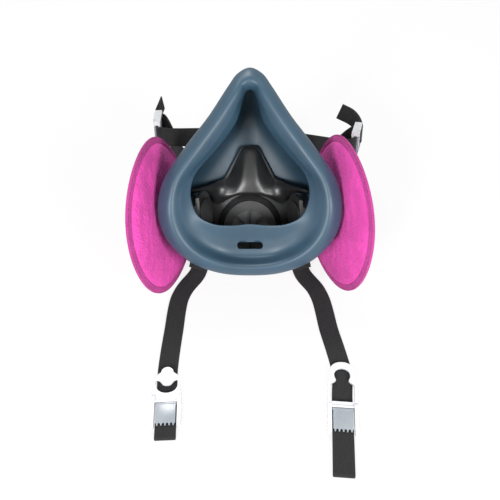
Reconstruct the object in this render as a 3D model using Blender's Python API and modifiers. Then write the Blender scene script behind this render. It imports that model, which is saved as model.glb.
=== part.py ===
"""Half-mask respirator with two disc filters, head harness and neck straps.

The mask lies on its front on a table (z = 0) with the inside looking up at the viewer.
Sizes below are millimetres. Mask pieces are drawn in the mask's own frame:
x to the viewer's right, v up the seal towards the nose, w out of the opening.
"""
import math

import bmesh
import bpy
from mathutils import Matrix, Vector

MM = 0.001

# clearances: faces that meet, a piece that turns on another, a strap beside or under plastic
GAP = 0.3
TURN_GAP = 0.5
STRAP_GAP = 0.4

# pose of the mask on the table
MASK_TILT = 48.0
MASK_Y = -22.2
MASK_Z = 89.5

# facepiece skin, and the drain slot in the chin cup
SKIN = 2.2
DRAIN_WIDE = 16.4
DRAIN_HIGH = 4.6
DRAIN_V = -45.9

# filter port: where its axis leaves the right wall, and the way each axis points out of the mask
PORT = (45.6, -27.3, -22.4)
PORT_OUT = {"left": (-0.963, -0.037, -0.266), "right": (0.963, 0.065, -0.266)}
TUBE_R = 10.5
TUBE_WALL = 1.9
TUBE_IN = 17.2
BOSS_WALL = 3.3
BOSS_OUT = 2.0
BOSS_IN = 7.5
BARREL_WALL = 2.1
RING_LIP = 2.8
RING_LEN = 2.2
RING_TOP_W = -8.2
FLAP_T = 0.9
FLAP_OVERLAP = 2.0
NUT_WALL = 2.0
NUT_LEN = 1.8
GASKET_WALL = 4.4
GASKET_LEN = 0.9
HUB_WALL = 2.0
HUB_FLANGE_R = 17.0
HUB_FLANGE_LEN = 1.2

# filter pad: welded rim, and the swell of the pillow on the mask side and on the outside
PAD_R = 51.3
PAD_RIM = 4.1
PAD_RIM_T = 2.0
PAD_BACK = 4.8
PAD_FRONT = 8.1

# exhalation valve, the plate that carries it, and its cover
VALVE_V = -39.2
SEAT_R = 13.2
SEAT_SPOKES = 4
SEAT_FLAP_LAP = 1.4
SEAT_FLAP_T = 1.6
PLATE_W = -46.0
PLATE_T = 1.4
COVER_WALL = 1.8
REST_HALF_X = 15.0
REST_FRONT_Y = -20.0
REST_BACK_Y = 13.0
VENT_HIGH = 1.8
VENT_PITCH = 4.5
VENT_COUNT = 3
VENT_LOWEST = 9.5

# yoke across the front: ring round the valve, and a slotted head for each strap
YOKE_BACK = -57.0
YOKE_T = 3.0
YOKE_RING_IN = 17.5
YOKE_RING_OUT = 25.5
SLOT_WIDE = 4.5
BAR_W = 3.5
HEAD_EDGE = 3.0
UPPER_BAR_X = 37.95
LOWER_BAR_X = 34.0
LOWER_BAR_V = -55.5

# straps
STRAP_W = 12.7
STRAP_T = 1.2

# buckles
RAIL_W = 2.5
BUCKLE_PLATE_T = 2.2
TAB_T = 1.3
TAB_LEN = 12.2
TAB_TEETH = 5
TOOTH_LEN = 1.7
PIN_R = 0.8
PIN_GAP = 0.3
ADJUSTER_DEPTH = 2.6
ADJUSTER_NEAR = -12.0
ADJUSTER_FAR = 12.5
ADJUSTER_TAB_LEN = 11.2

# sizes that follow from those above
PORT_HOLE_R = TUBE_R + 0.7
BOSS_R = PORT_HOLE_R + BOSS_WALL
BARREL_R = TUBE_R + BARREL_WALL
RING_R = BARREL_R + RING_LIP
NUT_IN = BOSS_OUT + GAP
GASKET_IN = NUT_IN + NUT_LEN + GAP
HUB_IN = GASKET_IN + GASKET_LEN + GAP
HUB_BORE = TUBE_R + TURN_GAP
HUB_SPIGOT = HUB_BORE + HUB_WALL
PAD_MID = HUB_IN + HUB_FLANGE_LEN + GAP + PAD_BACK
SEAT_BASE = PLATE_W + GAP
SEAT_FLAP_R = SEAT_R + SEAT_FLAP_LAP
YOKE_FRONT = YOKE_BACK + YOKE_T
SLOT_LONG = STRAP_W + 1.5
BAR_LOOP = math.hypot(BAR_W, YOKE_T) / 2 + STRAP_T / 2 + 0.7
FLAT_Z = STRAP_T / 2 + 0.15
RETURN_Z = FLAT_Z + STRAP_T + 0.6
BUCKLE_LOW = FLAT_Z + STRAP_T / 2 + STRAP_GAP
TAB_LOW = RETURN_Z + STRAP_T / 2 + STRAP_GAP
PIN_Z = TAB_LOW + TAB_T / 2
RAIL_TOP = TAB_LOW + TAB_T + 0.6
RAIL_IN = STRAP_W / 2 + STRAP_GAP
RAIL_OUT = RAIL_IN + RAIL_W
TAB_HALF = RAIL_IN - 0.7

SIDES = (("left", -1), ("right", 1))

for old in list(bpy.data.objects):
    bpy.data.objects.remove(old)

parts = bpy.data.collections.new("half_mask_respirator")
cutters = bpy.data.collections.new("cutters")
bpy.context.scene.collection.children.link(parts)
bpy.context.scene.collection.children.link(cutters)


def material(name, rgb, rough):
    mat = bpy.data.materials.new(name)
    mat.use_nodes = True
    bsdf = mat.node_tree.nodes["Principled BSDF"]
    bsdf.inputs["Base Color"].default_value = (*rgb, 1.0)
    bsdf.inputs["Roughness"].default_value = rough
    mat.diffuse_color = (*rgb, 1.0)
    return mat


SILICONE = material("silicone", (0.075, 0.14, 0.20), 0.42)
VALVE_RUBBER = material("valve_rubber", (0.10, 0.10, 0.10), 0.5)
BLACK = material("black_plastic", (0.012, 0.012, 0.013), 0.35)
MEDIA = material("filter_media", (0.82, 0.12, 0.55), 0.85)
WEBBING = material("webbing", (0.02, 0.02, 0.02), 0.9)
CLEAR = material("clear_plastic", (0.72, 0.76, 0.80), 0.3)

TABLE = Matrix.Identity(4)
MASK = Matrix.Translation((0.0, MASK_Y * MM, MASK_Z * MM)) @ Matrix.Rotation(math.radians(MASK_TILT), 4, "X")
VALVE = MASK @ Matrix.Translation((0.0, VALVE_V * MM, 0.0))


def shift(frame, x, y, z):
    return frame @ Matrix.Translation((x * MM, y * MM, z * MM))


def across(frame):
    """The frame turned so that its z axis lies along the old x axis."""
    return frame @ Matrix.Rotation(math.radians(90), 4, "Y")


def port_frame(tag, side):
    """Frame on a filter port's axis: z out of the mask, x roughly towards the nose."""
    z = Vector(PORT_OUT[tag]).normalized()
    x = Vector((0, 1, 0))
    x = (x - z * x.dot(z)).normalized()
    turn = Matrix((x, z.cross(x), z)).transposed().to_4x4()
    return shift(MASK, side * PORT[0], PORT[1], PORT[2]) @ turn


def in_table(point):
    """Mask coordinates to table millimetres."""
    return (MASK @ (Vector(point) * MM)) / MM


def mirrored(points, side):
    return [(side * x, y) for x, y in points]


def add(name, bm, frame, mat, tool=False):
    """Make the object from a bmesh drawn in the frame; a tool is a hidden cutter."""
    mesh = bpy.data.meshes.new(name)
    bm.to_mesh(mesh)
    bm.free()
    mesh.materials.append(mat)
    obj = bpy.data.objects.new(name, mesh)
    obj.matrix_world = frame
    (cutters if tool else parts).objects.link(obj)
    if tool:
        obj.hide_render = True
        obj.display_type = "WIRE"
    return obj


def add_solid(name, bm, frame, mat, tool=False):
    """Add a closed body, with its faces turned outwards."""
    bmesh.ops.recalc_face_normals(bm, faces=bm.faces[:])
    if bm.calc_volume(signed=True) < 0.0:
        bmesh.ops.reverse_faces(bm, faces=bm.faces[:])
    return add(name, bm, frame, mat, tool)


def boolean(obj, other, kind):
    mod = obj.modifiers.new(kind.lower() + "_" + other.name, "BOOLEAN")
    mod.operation = kind
    mod.solver = "EXACT"
    mod.object = other


def turned(name, profile, frame, mat, steps=32, tool=False):
    """Round piece about the frame's z axis, from its (radius, height) profile."""
    points = list(profile)
    area = sum(a[0] * b[1] - b[0] * a[1] for a, b in zip(points, points[1:] + points[:1]))
    if area > 0.0:
        points.reverse()
    bm = bmesh.new()
    verts = [bm.verts.new((r * MM, 0.0, z * MM)) for r, z in points]
    for a, b in zip(verts, verts[1:]):
        bm.edges.new((a, b))
    if points[0][0] > 0.0 or points[-1][0] > 0.0:
        bm.edges.new((verts[-1], verts[0]))
    obj = add(name, bm, frame, mat, tool)
    screw = obj.modifiers.new("turn", "SCREW")
    screw.steps = steps
    screw.render_steps = steps
    screw.use_merge_vertices = True
    screw.merge_threshold = 0.000001
    screw.use_smooth_shade = True
    return obj


def washer(inner, outer, low, high):
    return ((inner, low), (outer, low), (outer, high), (inner, high))


def disc(outer, low, high):
    return ((0.0, low), (outer, low), (outer, high), (0.0, high))


def plate(name, outline, low, high, frame, mat, tool=False):
    """Flat outline extruded along the frame's z axis."""
    bm = bmesh.new()
    face = bm.faces.new([bm.verts.new((x * MM, y * MM, low * MM)) for x, y in outline])
    grown = bmesh.ops.extrude_face_region(bm, geom=[face])
    moved = [g for g in grown["geom"] if isinstance(g, bmesh.types.BMVert)]
    bmesh.ops.translate(bm, verts=moved, vec=(0, 0, (high - low) * MM))
    return add_solid(name, bm, frame, mat, tool)


def rectangle(x0, x1, y0, y1, r=0.0, steps=3):
    """Rectangle outline, with corners of radius r."""
    if r <= 0.0:
        return [(x0, y0), (x1, y0), (x1, y1), (x0, y1)]
    out = []
    corners = ((x1 - r, y0 + r, -90), (x1 - r, y1 - r, 0), (x0 + r, y1 - r, 90), (x0 + r, y0 + r, 180))
    for cx, cy, start in corners:
        for i in range(steps + 1):
            t = math.radians(start + 90.0 * i / steps)
            out.append((cx + r * math.cos(t), cy + r * math.sin(t)))
    return out


def ellipse(cx, cy, rx, ry, n):
    turns = [2 * math.pi * i / n for i in range(n)]
    return [(cx + rx * math.cos(t), cy + ry * math.sin(t)) for t in turns]


def symmetric(half):
    """Close an outline from its half on the right, listed from the top point to the bottom point."""
    return half + [(-x, y) for x, y in reversed(half) if x > 0.0]


def loft(name, rings, frame, mat, closed=False, tool=False):
    """Skin rings of equal count; open ends are capped, or the last ring joins the first."""
    bm = bmesh.new()
    rows = [[bm.verts.new(Vector(p) * MM) for p in ring] for ring in rings]
    bridge(bm, rows, closed)
    if not closed:
        bm.faces.new(rows[0])
        bm.faces.new(rows[-1])
    return add_solid(name, bm, frame, mat, tool)


def bridge(bm, rows, closed=False):
    pairs = list(zip(rows, rows[1:]))
    if closed:
        pairs.append((rows[-1], rows[0]))
    for a, b in pairs:
        for i in range(len(a)):
            j = (i + 1) % len(a)
            bm.faces.new((a[i], a[j], b[j], b[i]))


def spline(points, per, cyclic=False):
    """Points on a smooth curve through every given point, with per steps in each span."""
    pts = [Vector(p) for p in points]
    n = len(pts)
    out = []
    for i in range(n if cyclic else n - 1):
        p1 = pts[i]
        p2 = pts[(i + 1) % n]
        p0 = pts[i - 1] if (cyclic or i > 0) else p1 * 2 - p2
        p3 = pts[(i + 2) % n] if (cyclic or i + 2 < n) else p2 * 2 - p1
        d0 = max((p1 - p0).length, 1e-6) ** 0.5
        d1 = max((p2 - p1).length, 1e-6) ** 0.5
        d2 = max((p3 - p2).length, 1e-6) ** 0.5
        m1 = (p2 - p1) + ((p1 - p0) / d0 - (p2 - p0) / (d0 + d1)) * d1
        m2 = (p2 - p1) + ((p3 - p2) / d2 - (p3 - p1) / (d1 + d2)) * d1
        for k in range(per):
            t = k / per
            out.append(p1 * (2 * t ** 3 - 3 * t * t + 1) + m1 * (t ** 3 - 2 * t * t + t)
                       + p2 * (3 * t * t - 2 * t ** 3) + m2 * (t ** 3 - t * t))
    if not cyclic:
        out.append(pts[-1])
    return out


def arc(centre, e1, e2, r, start, end, steps):
    out = []
    for i in range(steps + 1):
        a = math.radians(start + (end - start) * i / steps)
        out.append(Vector(centre) + Vector(e1) * (r * math.cos(a)) + Vector(e2) * (r * math.sin(a)))
    return out


def ribbon(name, path, frame, per):
    """Flat strap along a path of (point, width direction), both given on the table."""
    pts = spline([p for p, d in path], per)
    turns = [Vector(d).normalized() for p, d in path]
    dirs = [a.lerp(b, k / per) for a, b in zip(turns, turns[1:]) for k in range(per)] + [turns[-1]]
    half_w = STRAP_W / 2
    half_t = STRAP_T / 2
    rows = []
    for i, p in enumerate(pts):
        along = (pts[min(i + 1, len(pts) - 1)] - pts[max(i - 1, 0)]).normalized()
        side = (dirs[i] - along * dirs[i].dot(along)).normalized()
        up = along.cross(side)
        corners = ((-half_w, -half_t), (half_w, -half_t), (half_w, half_t), (-half_w, half_t))
        rows.append([p + side * a + up * b for a, b in corners])
    to_frame = Matrix.Scale(1 / MM, 4) @ frame.inverted() @ Matrix.Scale(MM, 4)
    return loft(name, [[to_frame @ p for p in row] for row in rows], frame, WEBBING)


def carry(name, frame, children):
    """Empty on a joint's axis, with the pieces that turn together as its children."""
    empty = bpy.data.objects.new(name, None)
    empty.matrix_world = frame
    parts.objects.link(empty)
    for child in children:
        child.parent = empty
        child.matrix_parent_inverse = frame.inverted()


# facepiece: rings from the free lip edge, over the sealing crest and the rolled outer edge, to the front hole
# each lists nose, nose side, bridge, upper cheek, cheek, cheek corner, widest, jaw, jaw corner, chin side,
# chin
LIP_EDGE = ((0, 52, -9), (3, 50.4, -9), (5.2, 44.4, -8), (9, 31.9, -6.5), (20.2, 16.4, -4.5),
            (34.7, -1, -2.2), (37.2, -13.5, -1.5), (33, -26, -2.8), (23.2, -32, -6),
            (11.6, -33.2, -8.5), (0, -32.4, -9))
LIP_SHELF = ((0, 52.9, -7.8), (3.3, 51.1, -7.5), (5.6, 45.9, -6), (11.4, 31.4, -4), (23.7, 15.1, -1.5),
             (38, -2.5, 0.5), (40.5, -16.3, 1), (37, -29, -1.5), (27, -37.5, -7), (14.3, -43, -11.5),
             (0, -43.4, -12.5))
LIP_TROUGH = ((0, 54, -6), (3.6, 52.3, -6), (6, 46.9, -4), (14.3, 31, -1.5), (27, 13.8, 1), (41, -4, 3),
              (43.6, -18.3, 3.5), (40, -32.6, 0), (30, -44.4, -6.5), (16.3, -51.8, -11.5), (0, -53.8, -12.5))
CREST = ((0, 56.7, -4), (5, 54.5, -3.5), (8.5, 49.3, -1.5), (20.5, 31.9, 2), (34.2, 13, 5), (45.4, -5, 6.5),
         (48.8, -22.2, 6.5), (44.9, -37.3, 4), (34.2, -49.3, 1), (18.4, -56.4, -1), (0, -58.4, -1.5))
OUTER = ((0, 63.7, -10), (7, 60.3, -9.5), (12, 53.6, -8), (24.6, 34.4, -4.5), (39.6, 15, -2),
         (52.6, -4.8, -1), (56.2, -23.2, -1), (51.6, -40, -3), (38.6, -54, -6),
         (20.3, -61.8, -8), (0, -63.7, -8.5))
NECK = ((0, 57.8, -14), (5, 55.7, -13.5), (9, 49.8, -12), (20.2, 32.6, -9.5), (34, 13.8, -8),
        (45.7, -4.5, -7.5), (48.4, -22.7, -7.5), (45, -37.5, -9), (34.4, -49.9, -12),
        (18.6, -57.3, -14), (0, -59.2, -14.5))
BODY = ((0, 50, -28), (4.8, 48, -28), (8.7, 43, -27), (18.8, 29.1, -26), (31, 12.8, -25), (42.7, -4.5, -25),
        (45.4, -22.7, -25), (42.5, -37, -26), (33, -50, -28), (18, -57.8, -30), (0, -59.8, -30))
SHOULDER = ((0, 37.5, -44), (4.5, 36.1, -44), (8.2, 32.5, -44), (16, 22.2, -44), (26, 8, -44), (36, -6, -43),
            (39.5, -23, -43), (37.5, -36, -43), (30, -48.5, -44), (17, -56.5, -45), (0, -59, -45))
FRONT_HOLE = ((0, 16.5, -51), (3, 15.8, -51), (5, 14, -51), (9, 6.5, -51), (14, -2.5, -51), (20.5, -9.5, -51),
              (25, -23, -51), (24, -35, -51), (19.5, -45, -51), (11.5, -52, -51), (0, -54, -51))
RINGS = (LIP_EDGE, LIP_SHELF, LIP_TROUGH, CREST, OUTER, NECK, BODY, SHOULDER, FRONT_HOLE)
STEPS_ROUND = 2
STEPS_DOWN = 2


def facepiece_rows():
    """Smooth the rings around the mask, then from ring to ring."""
    around = []
    for ring in RINGS:
        whole = list(ring) + [(-x, v, w) for x, v, w in reversed(ring[1:-1])]
        around.append(spline(whole, STEPS_ROUND, cyclic=True))
    columns = [spline(column, STEPS_DOWN) for column in zip(*around)]
    return list(zip(*columns))


def make_facepiece():
    bm = bmesh.new()
    rows = [[bm.verts.new(p * MM) for p in row] for row in facepiece_rows()]
    bridge(bm, rows)
    bmesh.ops.recalc_face_normals(bm, faces=bm.faces[:])
    facepiece = add("facepiece", bm, MASK, SILICONE)
    skin = facepiece.modifiers.new("skin", "SOLIDIFY")
    skin.thickness = SKIN * MM
    skin.offset = 0.0
    opening = disc((PORT_HOLE_R + BOSS_R) / 2, -20.0, 12.0)
    boss = washer(PORT_HOLE_R, BOSS_R, -BOSS_IN, BOSS_OUT)
    for tag, side in SIDES:
        cut = turned("opening_" + tag, opening, port_frame(tag, side), SILICONE, 30, True)
        boolean(facepiece, cut, "DIFFERENCE")
    for tag, side in SIDES:
        ring = turned("boss_" + tag, boss, port_frame(tag, side), SILICONE, 32, True)
        boolean(facepiece, ring, "UNION")
    slot = rectangle(-DRAIN_WIDE / 2, DRAIN_WIDE / 2, DRAIN_V - DRAIN_HIGH / 2, DRAIN_V + DRAIN_HIGH / 2, 2.2)
    boolean(facepiece, plate("drain_cutter", slot, -17.0, -8.5, MASK, SILICONE, True), "DIFFERENCE")


make_facepiece()

# half outline of the inner frame's plate, from nose to chin
FRAME_HALF = [(0, 18.5), (5.5, 17.5), (7, 15.5), (16.8, -2.8), (21.5, -8), (25.3, -12), (27.6, -23),
              (26.6, -35.5), (21.2, -45.5), (12, -52.3), (0, -54.0)]
# ridge under the nose: place along v, half width at the foot and of the flat top, and how high it stands
RIDGE = ((17.2, 6.0, 4.6, 3.5), (8.0, 10.6, 5.0, 7.5), (-3.0, 16.2, 6.4, 9.5), (-14.0, 21.0, 9.6, 8.5))


def hood_ring(top, side, low, w, n=40):
    """Ring round the valve axis: wide above the valve, closer beside it and below."""
    out = []
    for i in range(n):
        a = 2 * math.pi * i / n
        s = math.sin(a)
        r = side + (top - side) * s * s if s >= 0.0 else side + (low - side) * (1.0 - (1.0 + s) ** 2)
        out.append((r * math.cos(a), r * s, w))
    return out


def make_inner_frame():
    frame = plate("inner_frame", symmetric(FRAME_HALF), PLATE_W - PLATE_T, PLATE_W, MASK, BLACK)
    rows = []
    low = PLATE_W - 0.8
    for v, foot, top, stand in RIDGE:
        high = PLATE_W + stand
        half = [(foot, v, low), (foot, v, low + 2.0), (top + 1.5, v, high - 0.8), (top, v, high)]
        rows.append(half + [(-x, y, z) for x, y, z in reversed(half)])
    boolean(frame, loft("ridge", rows, MASK, BLACK, tool=True), "UNION")
    hole = turned("seat_hole", disc(SEAT_FLAP_R + 0.7, -60.0, -30.0), VALVE, BLACK, 40, True)
    boolean(frame, hole, "DIFFERENCE")
    # the ridge stops short of the valve's hood
    edge = SEAT_R + 2.7
    relief = [hood_ring(edge + 9.1, edge + 6.7, edge, w) for w in (PLATE_W, -30.0)]
    boolean(frame, loft("ridge_relief", relief, VALVE, BLACK, tool=True), "DIFFERENCE")


def make_exhalation_valve():
    r = SEAT_R
    rings = (hood_ring(r + 11.4, r + 9.0, r + 2.1, SEAT_BASE),
             hood_ring(r + 11.0, r + 8.6, r + 2.0, SEAT_BASE + 1.8),
             hood_ring(r + 7.6, r + 5.6, r + 1.7, SEAT_BASE + 3.6),
             hood_ring(r + 6.8, r + 5.0, r + 1.3, SEAT_BASE + 1.4),
             hood_ring(r, r, r, SEAT_BASE + 1.2), hood_ring(r, r, r, SEAT_BASE))
    seat = loft("exhalation_seat", rings, VALVE, BLACK, closed=True)
    for i in range(SEAT_SPOKES):
        turn = VALVE @ Matrix.Rotation(math.pi * i / SEAT_SPOKES, 4, "Z")
        bar = rectangle(-r - 0.8, r + 0.8, -0.7, 0.7)
        spoke = plate("spoke_%d" % i, bar, SEAT_BASE + 0.05, SEAT_BASE + 1.4, turn, BLACK, True)
        boolean(seat, spoke, "UNION")
    hub = turned("seat_hub", disc(3.2, SEAT_BASE + 0.02, SEAT_BASE + 2.0), VALVE, BLACK, 20, True)
    boolean(seat, hub, "UNION")
    top = SEAT_BASE - GAP
    flap = ((0, top - SEAT_FLAP_T), (SEAT_FLAP_R - 4, top - SEAT_FLAP_T + 0.2), (SEAT_FLAP_R, top - 0.9),
            (SEAT_FLAP_R, top - 0.2), (0, top))
    turned("exhalation_valve", flap, VALVE, VALVE_RUBBER)


make_inner_frame()
make_exhalation_valve()

# strap heads on the yoke: outline and slot of each, on the right side
UPPER_SLOT = (UPPER_BAR_X - BAR_W / 2 - SLOT_WIDE, UPPER_BAR_X - BAR_W / 2, -SLOT_LONG / 2, SLOT_LONG / 2)
UPPER_HEAD = (UPPER_SLOT[0] - HEAD_EDGE, UPPER_BAR_X + BAR_W / 2, UPPER_SLOT[2] - 2.4, UPPER_SLOT[3] + 2.4)
UPPER_ARM = [(16, -21), (28, -33), (UPPER_BAR_X - 3.5, -10), (UPPER_BAR_X - 6, 2), (UPPER_SLOT[0] - 5, 2)]
LOWER_SLOT = (LOWER_BAR_X - SLOT_LONG / 2, LOWER_BAR_X + SLOT_LONG / 2, LOWER_BAR_V + BAR_W / 2,
              LOWER_BAR_V + BAR_W / 2 + SLOT_WIDE)
LOWER_HEAD = (LOWER_SLOT[0] - 1.9, LOWER_SLOT[1] + 1.9, LOWER_BAR_V - BAR_W / 2, LOWER_SLOT[3] + HEAD_EDGE)
LOWER_ARM = [(15, -56), (22, -28), (LOWER_BAR_X, LOWER_HEAD[3] + 2.0), (LOWER_BAR_X, LOWER_SLOT[3] - 0.5)]


def make_yoke():
    ring = washer(YOKE_RING_IN, YOKE_RING_OUT, YOKE_BACK, YOKE_FRONT)
    yoke = turned("yoke", ring, VALVE, BLACK, 48)
    for tag, side in SIDES:
        shapes = {"upper_arm_": UPPER_ARM, "upper_head_": rectangle(*UPPER_HEAD, 2.0),
                  "lower_arm_": LOWER_ARM, "lower_head_": rectangle(*LOWER_HEAD, 2.0)}
        for name, outline in shapes.items():
            solid = plate(name + tag, mirrored(outline, side), YOKE_BACK, YOKE_FRONT, MASK, BLACK, True)
            boolean(yoke, solid, "UNION")
    for tag, side in SIDES:
        for name, slot in (("upper_slot_", UPPER_SLOT), ("lower_slot_", LOWER_SLOT)):
            outline = mirrored(rectangle(*slot, 0.8), side)
            cut = plate(name + tag, outline, YOKE_BACK - 2.0, YOKE_FRONT + 2.0, MASK, BLACK, True)
            boolean(yoke, cut, "DIFFERENCE")
    bore = turned("yoke_bore", disc(YOKE_RING_IN, -70.0, -40.0), VALVE, BLACK, 48, True)
    boolean(yoke, bore, "DIFFERENCE")


COVER_SIDES = 32


def rest_ring(grow, lift):
    """Ring near the table, between an ellipse and a rectangle, in mask coordinates."""
    to_mask = MASK.inverted()
    middle = (REST_BACK_Y + REST_FRONT_Y) / 2
    half_y = (REST_BACK_Y - REST_FRONT_Y) / 2
    out = []
    for i in range(COVER_SIDES):
        a = 2 * math.pi * i / COVER_SIDES
        c = math.copysign(abs(math.cos(a)) ** 0.6, math.cos(a))
        s = math.copysign(abs(math.sin(a)) ** 0.6, math.sin(a))
        point = Vector(((REST_HALF_X + grow) * c, middle + (half_y + grow) * s, lift))
        out.append(to_mask @ (point * MM) / MM)
    return out


def cover_ring(r, w):
    return [Vector((x, y, w)) for x, y in ellipse(0.0, VALVE_V, r, r, COVER_SIDES)]


def make_exhalation_cover():
    """Hollow hood from the yoke down to a flat face that rests on the table."""
    top = YOKE_BACK - GAP
    brim = YOKE_RING_IN + 3.5
    neck = cover_ring(YOKE_RING_IN + 0.9, top - 3.0)
    foot = rest_ring(1.2, 1.2)
    waist = [a.lerp(b, 0.5) + Vector((a.x * 0.04, 0, -1.5)) for a, b in zip(neck, foot)]
    bm = bmesh.new()
    rings = (cover_ring(brim, top), cover_ring(brim, top - 1.8), neck, waist, foot, rest_ring(0.0, 0.0))
    rows = [[bm.verts.new(p * MM) for p in ring] for ring in rings]
    bridge(bm, rows)
    bm.faces.new(rows[-1])
    bmesh.ops.recalc_face_normals(bm, faces=bm.faces[:])
    cover = add("exhalation_cover", bm, MASK, BLACK)
    shell = cover.modifiers.new("shell", "SOLIDIFY")
    shell.thickness = COVER_WALL * MM
    shell.offset = -1.0
    for i in range(VENT_COUNT):
        z = VENT_LOWEST + i * VENT_PITCH
        slit = rectangle(-30.0, 30.0, -9.0 - i, 3.0 - i * 2.0)
        cut = plate("vent_%d" % i, slit, z - VENT_HIGH / 2, z + VENT_HIGH / 2, TABLE, BLACK, True)
        boolean(cover, cut, "DIFFERENCE")


make_yoke()
make_exhalation_cover()

PILLOW_STEPS = (0.0, 0.25, 0.45, 0.64, 0.78, 0.88, 0.95, 1.0)


def pillow(u):
    """Share of the pillow's swell left at the share u of its radius."""
    return (1.0 - u ** 4.2) ** 0.75


def pad_profile():
    pillow_r = PAD_R - PAD_RIM
    rim = PAD_RIM_T / 2
    pocket = HUB_SPIGOT + 0.4
    back = [(0.0, -rim), (pocket, -rim)]
    for u in PILLOW_STEPS:
        r = max(u * pillow_r, pocket)
        if u == 0.0 or r > pocket:
            back.append((r, -rim - (PAD_BACK - rim) * pillow(u)))
    edge = [(PAD_R - 0.5, -rim), (PAD_R, -rim / 2), (PAD_R, rim / 2), (PAD_R - 0.5, rim)]
    front = [(u * pillow_r, rim + (PAD_FRONT - rim) * pillow(u)) for u in reversed(PILLOW_STEPS)]
    return back + edge + front


def make_filter_side(tag, side):
    port = port_frame(tag, side)
    bore = TUBE_R - TUBE_WALL
    inner = -BOSS_IN - GAP
    tube_end = PAD_MID - 3.0
    ring_end = RING_LEN - TUBE_IN
    tube = ((bore, -TUBE_IN), (RING_R, -TUBE_IN), (RING_R, ring_end), (BARREL_R, ring_end),
            (BARREL_R, inner - 2.2), (BARREL_R - 0.8, inner), (TUBE_R, inner), (TUBE_R, tube_end),
            (bore, tube_end))
    connector = turned("connector_" + tag, tube, port, BLACK)
    over_lip = rectangle(-50.0, 50.0, -60.0, 10.0)
    lip_relief = plate("lip_relief_" + tag, over_lip, RING_TOP_W, 10.0, MASK, BLACK, True)
    boolean(connector, lip_relief, "DIFFERENCE")
    flap_back = -TUBE_IN - GAP
    flap = disc(bore + FLAP_OVERLAP, flap_back - FLAP_T, flap_back)
    turned("inhalation_valve_" + tag, flap, port, VALVE_RUBBER, 28)
    nut_bore = TUBE_R + GAP
    nut = washer(nut_bore, nut_bore + NUT_WALL, NUT_IN, NUT_IN + NUT_LEN)
    turned("connector_nut_" + tag, nut, port, BLACK, 24)
    seal_bore = HUB_BORE + 0.1
    seal = washer(seal_bore, seal_bore + GASKET_WALL, GASKET_IN, GASKET_IN + GASKET_LEN)
    turned("filter_gasket_" + tag, seal, port, VALVE_RUBBER)
    flange_top = HUB_IN + HUB_FLANGE_LEN
    spigot_end = PAD_MID - PAD_RIM_T / 2 - 0.4
    hub = ((HUB_BORE, HUB_IN), (HUB_FLANGE_R, HUB_IN), (HUB_FLANGE_R, flange_top), (HUB_SPIGOT, flange_top),
           (HUB_SPIGOT, spigot_end), (HUB_BORE, spigot_end))
    turned("filter_hub_" + tag, hub, port, BLACK)
    turned("filter_pad_" + tag, pad_profile(), shift(port, 0, 0, PAD_MID), MEDIA, 40)


for tag, side in SIDES:
    make_filter_side(tag, side)

# neck buckles: local frame x across, y along the strap to the mask, z up, origin at the crossbar
BUCKLE_AT = {"left": (-50.9, -131.5, 2.6), "right": (56.2, -133.0, -4.2)}
X_DIR = Vector((1, 0, 0))


def buckle_frame(tag):
    x, y, turn = BUCKLE_AT[tag]
    return shift(TABLE, x, y, 0) @ Matrix.Rotation(math.radians(turn), 4, "Z")


# neck straps: places on the table between the mask and the buckle, then where each folds and ends
NECK_RUN = {"left": ((-41.8, -38.0), (-45.4, -44.0), (-48.8, -54.0), (-50.4, -76.0)),
            "right": ((41.8, -38.0), (45.6, -44.0), (49.2, -55.0), (52.2, -77.0))}
NECK_FOLD = {"left": -22.0, "right": -42.5}
NECK_END = {"left": -2.4, "right": -4.9}


def neck_hinge(side):
    """Frame on the yoke's lower bar, which the neck strap's loop turns on."""
    middle = in_table((side * LOWER_BAR_X, LOWER_BAR_V, YOKE_BACK + YOKE_T / 2))
    return Matrix.Translation(middle * MM)


def make_neck_strap(tag, side):
    """Sewn loop round the yoke's bar, flat run on the table, fold through the buckle."""
    hinge = neck_hinge(side)
    loop = arc(hinge.translation / MM, (0, 1, 0), (0, 0, 1), BAR_LOOP, 105, -105, 6)
    sewn = [(37.0, -29.5, 5.0), (36.0, -26.5, 8.2), (34.8, -22.5, 12.4)]
    leave = [(35.0, -23.6, 5.6)]
    turn_out = [(36.6, -29.5, 2.3), (38.8, -33.6, 1.05)]
    path = [(Vector((side * x, y, z)), X_DIR) for x, y, z in sewn]
    path += [(p, X_DIR) for p in loop]
    path += [(Vector((side * x, y, z)), X_DIR) for x, y, z in leave]
    path += [(Vector((side * x, y, z)), (0.82, side * 0.57, 0)) for x, y, z in turn_out]
    path += [(Vector((x, y, FLAT_Z)), X_DIR) for x, y in NECK_RUN[tag]]
    fold = NECK_FOLD[tag]
    lane = [(y, FLAT_Z) for y in (24.0, 8.0, -8.0, fold + 2.0, fold)]
    lane.append((fold - 0.8, (FLAT_Z + RETURN_Z) / 2))
    lane += [(y, RETURN_Z) for y in (fold, fold + 2.0, NECK_END[tag])]
    at = buckle_frame(tag)
    path += [((at @ Vector((0, y * MM, z * MM))) / MM, at.to_3x3() @ X_DIR) for y, z in lane]
    return ribbon("neck_strap_" + tag, path, hinge, 2)


def add_rails(buckle, name, frame, top, pin, end):
    """Two side rails of a buckle, with the hole for its tab's pin."""
    for mark, low, high in (("a", -RAIL_OUT, -RAIL_IN), ("b", RAIL_IN, RAIL_OUT)):
        outline = rectangle(low, high, end, top)
        rail = plate(name + "_rail_" + mark, outline, BUCKLE_LOW, RAIL_TOP, frame, CLEAR, True)
        boolean(buckle, rail, "UNION")
    axis = across(shift(frame, 0, pin, PIN_Z))
    hole = disc(PIN_R + PIN_GAP, -RAIL_OUT - 1.0, RAIL_OUT + 1.0)
    boolean(buckle, turned(name + "_pin_hole", hole, axis, CLEAR, 12, True), "DIFFERENCE")


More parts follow.
